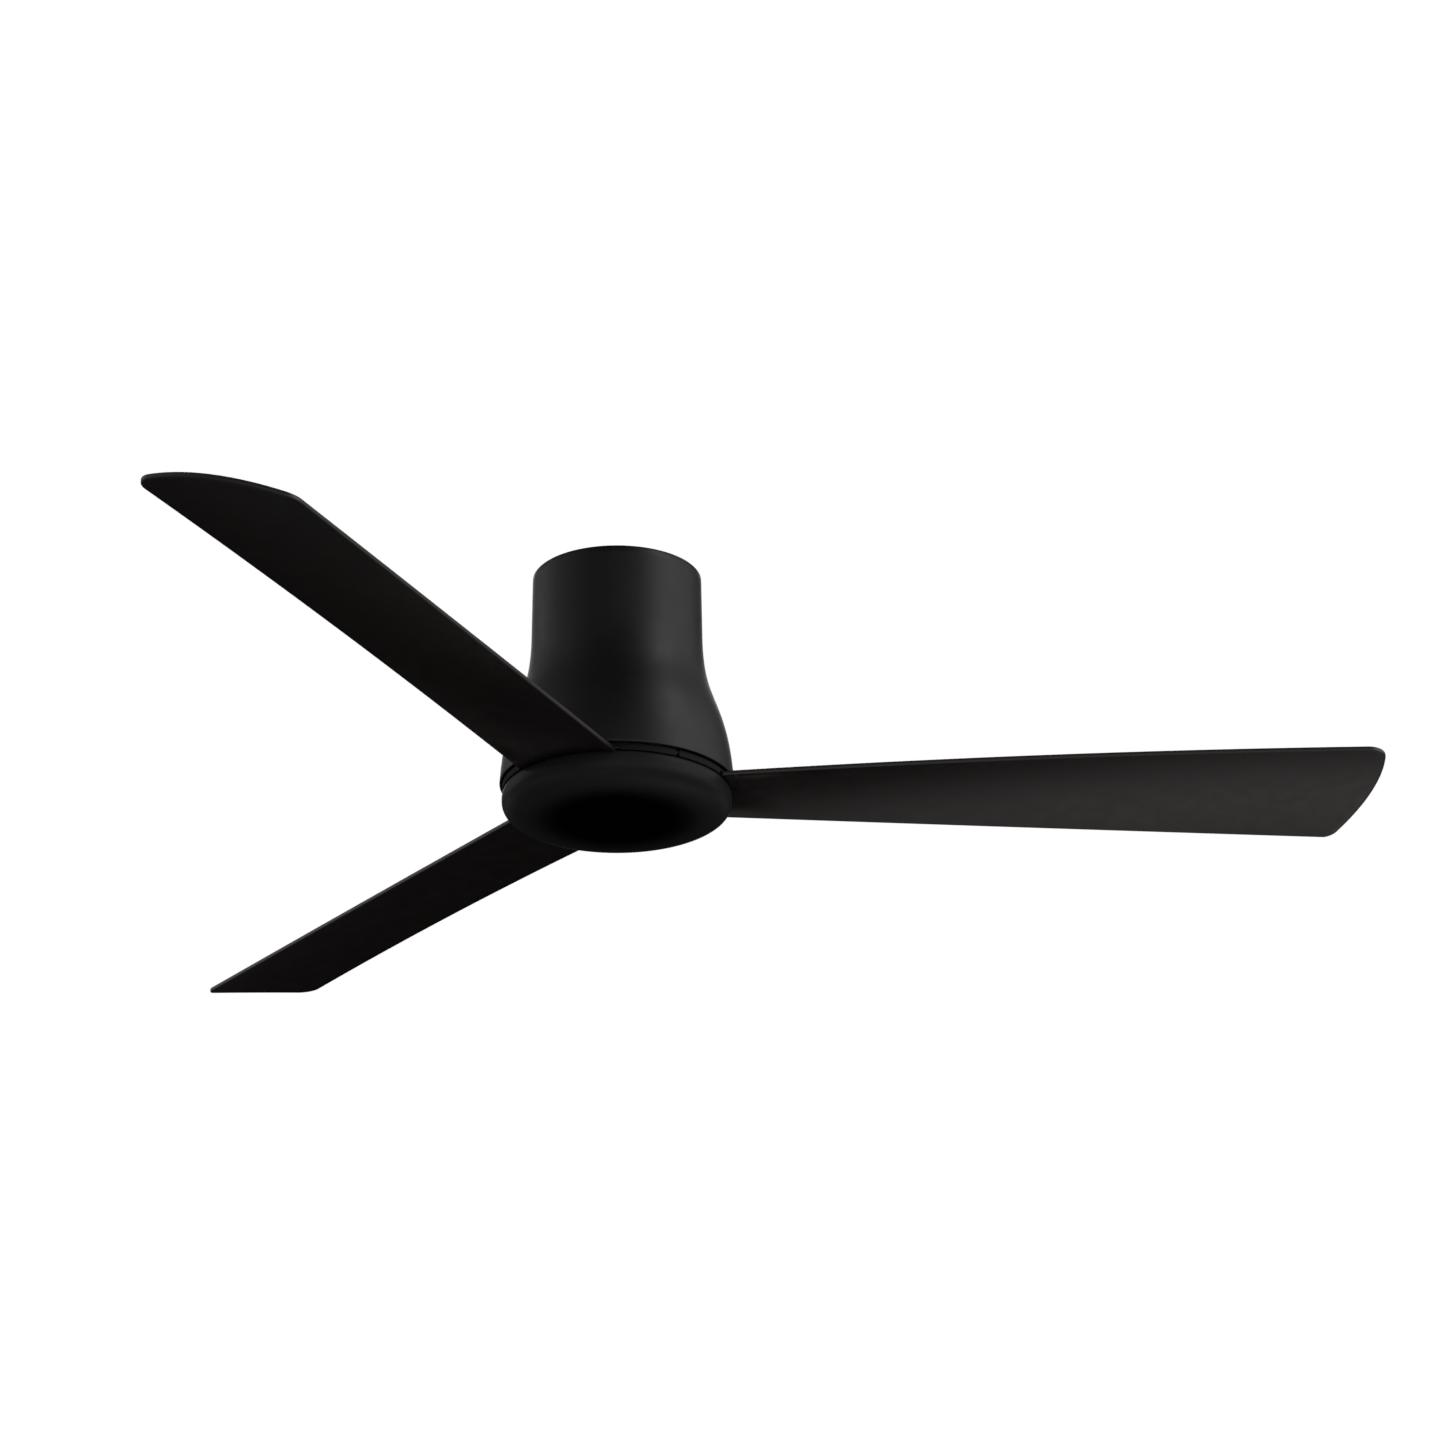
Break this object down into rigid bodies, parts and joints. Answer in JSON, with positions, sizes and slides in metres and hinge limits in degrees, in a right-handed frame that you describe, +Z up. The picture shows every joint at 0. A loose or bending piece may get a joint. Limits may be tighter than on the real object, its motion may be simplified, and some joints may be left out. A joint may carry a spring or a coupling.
{
  "type": "ceiling fan",
  "caption": "Flush-mount ceiling fan: a bell-shaped housing holds an outer-rotor motor that turns twisted blades in a hub band above a shallow rounded cap.",
  "frame": {"origin": "centre of the ceiling bracket's top face, which lies on the ceiling", "axes": "+Z up into the ceiling and along the motor shaft; blade_1 points along +X, within one and a half degrees"},
  "size_m": [1.2122, 1.3531, 0.2596],
  "materials": {
    "black_powder_coat": "fine matte black powder coat",
    "black_blade": "matte black, slightly warm",
    "black_plastic": "moulded, matte",
    "zinc_plated_steel": "bright zinc plate",
    "bearing_steel": "ground steel",
    "cast_aluminium": "die cast, lightly textured",
    "rubber": "soft black rubber",
    "enamelled_copper": "enamelled copper wire",
    "laminated_steel": "stacked laminations",
    "ferrite": "dark sintered magnet",
    "circuit_board": "green board with its components",
    "white_plastic": "moulded nylon",
    "wire_sleeve": "woven black sleeve"
  },
  "bodies": {
    "root": {"ceiling_bracket": "zinc_plated_steel", "hanger_frame": "zinc_plated_steel", "isolator_1": "rubber", "isolator_2": "rubber", "isolator_3": "rubber", "isolator_4": "rubber", "hanger_screw_1": "zinc_plated_steel", "hanger_screw_2": "zinc_plated_steel", "hanger_screw_3": "zinc_plated_steel", "hanger_screw_4": "zinc_plated_steel", "housing": "black_powder_coat", "housing_screw_1": "black_powder_coat", "housing_screw_2": "black_powder_coat", "driver_tray": "zinc_plated_steel", "driver_board": "circuit_board", "terminal_block": "white_plastic", "driver_cover": "black_plastic", "driver_screw_1": "zinc_plated_steel", "driver_screw_2": "zinc_plated_steel", "motor_shaft": "bearing_steel", "flange_screw_1": "zinc_plated_steel", "flange_screw_2": "zinc_plated_steel", "flange_screw_3": "zinc_plated_steel", "stator_core": "laminated_steel", "stator_winding": "enamelled_copper", "motor_harness": "wire_sleeve", "light_harness": "wire_sleeve", "upper_inner_race": "bearing_steel", "lower_inner_race": "bearing_steel", "retaining_ring": "bearing_steel", "spacer_tube": "zinc_plated_steel", "fitter_pan": "zinc_plated_steel", "fitter_nut": "zinc_plated_steel", "light_plug": "white_plastic", "bottom_cap": "black_powder_coat", "cap_stud_1": "zinc_plated_steel", "cap_stud_2": "zinc_plated_steel", "cap_stud_3": "zinc_plated_steel"},
    "rotor": {"rotor_shell_upper": "cast_aluminium", "rotor_shell_lower": "cast_aluminium", "magnet_ring": "ferrite", "upper_outer_race": "bearing_steel", "lower_outer_race": "bearing_steel", "hub_band_1": "black_plastic", "blade_1": "black_blade", "blade_1_screw_1": "zinc_plated_steel", "blade_1_screw_2": "zinc_plated_steel", "blade_1_screw_3": "zinc_plated_steel", "hub_band_2": "black_plastic", "blade_2": "black_blade", "blade_2_screw_1": "zinc_plated_steel", "blade_2_screw_2": "zinc_plated_steel", "blade_2_screw_3": "zinc_plated_steel", "hub_band_3": "black_plastic", "blade_3": "black_blade", "blade_3_screw_1": "zinc_plated_steel", "blade_3_screw_2": "zinc_plated_steel", "blade_3_screw_3": "zinc_plated_steel"},
    "upper_cage": {"upper_ball_cage": "bearing_steel"},
    "lower_cage": {"lower_ball_cage": "bearing_steel"}
  },
  "joints": [
    {"name": "rotor_spin", "type": "hinge", "parent": "root", "child": "rotor", "pos_m": [0, 0, -0.18], "axis": [0, 0, 1], "continuous": true},
    {"name": "upper_cage_spin", "type": "hinge", "parent": "root", "child": "upper_cage", "pos_m": [0, 0, -0.151], "axis": [0, 0, 1], "continuous": true},
    {"name": "lower_cage_spin", "type": "hinge", "parent": "root", "child": "lower_cage", "pos_m": [0, 0, -0.208], "axis": [0, 0, 1], "continuous": true}
  ],
  "couplings": [
    {"joint": "upper_cage_spin", "follows": "rotor_spin", "ratio": 0.58333},
    {"joint": "lower_cage_spin", "follows": "rotor_spin", "ratio": 0.58333}
  ]
}
